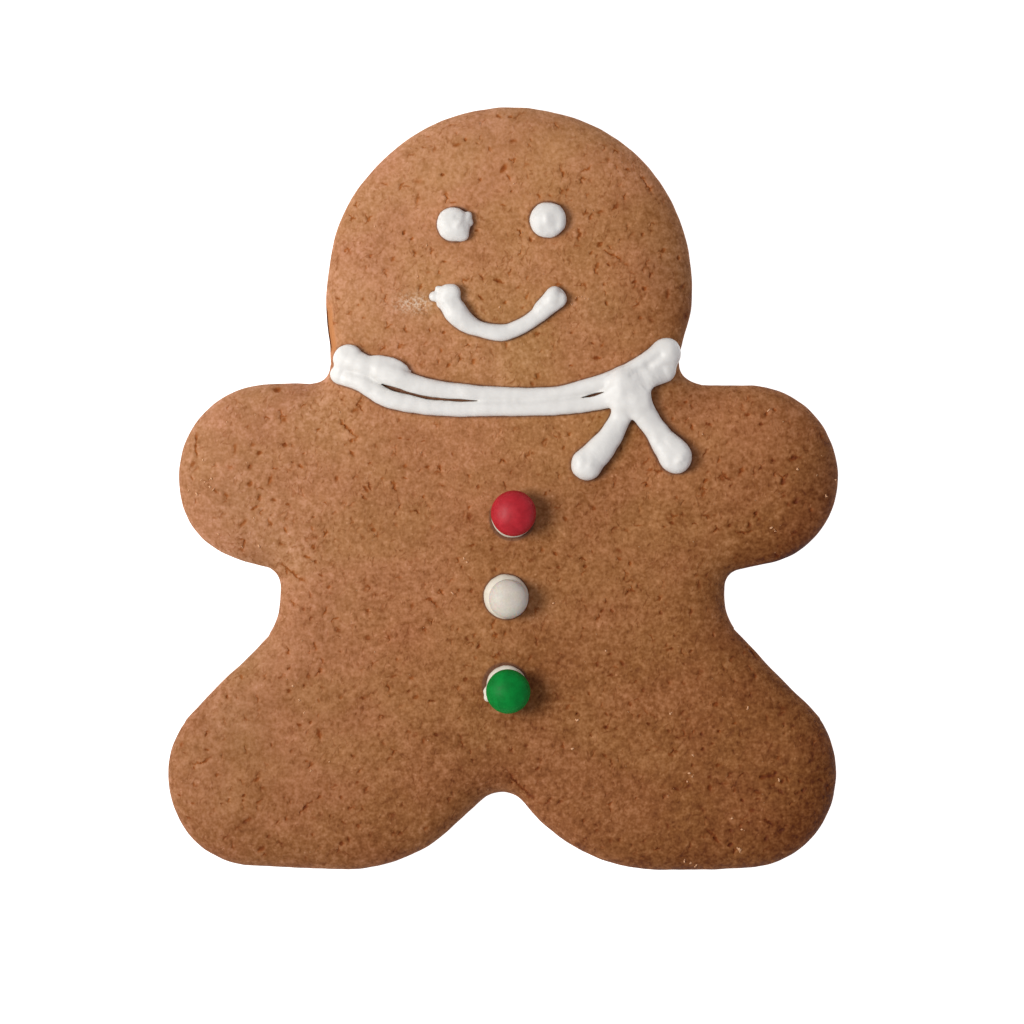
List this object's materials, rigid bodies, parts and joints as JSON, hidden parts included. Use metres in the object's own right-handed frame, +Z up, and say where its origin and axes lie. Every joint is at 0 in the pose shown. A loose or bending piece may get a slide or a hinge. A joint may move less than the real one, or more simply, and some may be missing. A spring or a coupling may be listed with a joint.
{
  "type": "gingerbread man cookie",
  "caption": "Gingerbread man cookie lying flat, with a piped icing smile, eyes and scarf and three round candy buttons.",
  "frame": {"origin": "centre of the bounding box in X and Y, on the underside of the cookie", "axes": "+Z up out of the iced face, +Y towards the top of the head, +X to the right of someone looking at the face"},
  "size_m": [0.123, 0.14, 0.0147],
  "materials": {
    "gingerbread": "matte",
    "icing": "satin",
    "candy_red": "satin",
    "candy_white": "satin",
    "candy_green": "satin"
  },
  "bodies": {
    "root": {"cookie": "gingerbread", "eye_left": "icing", "eye_right": "icing", "smile": "icing", "scarf": "icing", "icing_dot_red": "icing", "icing_dot_white": "icing", "icing_dot_green": "icing", "candy_red": "candy_red", "candy_white": "candy_white", "candy_green": "candy_green"}
  },
  "joints": []
}
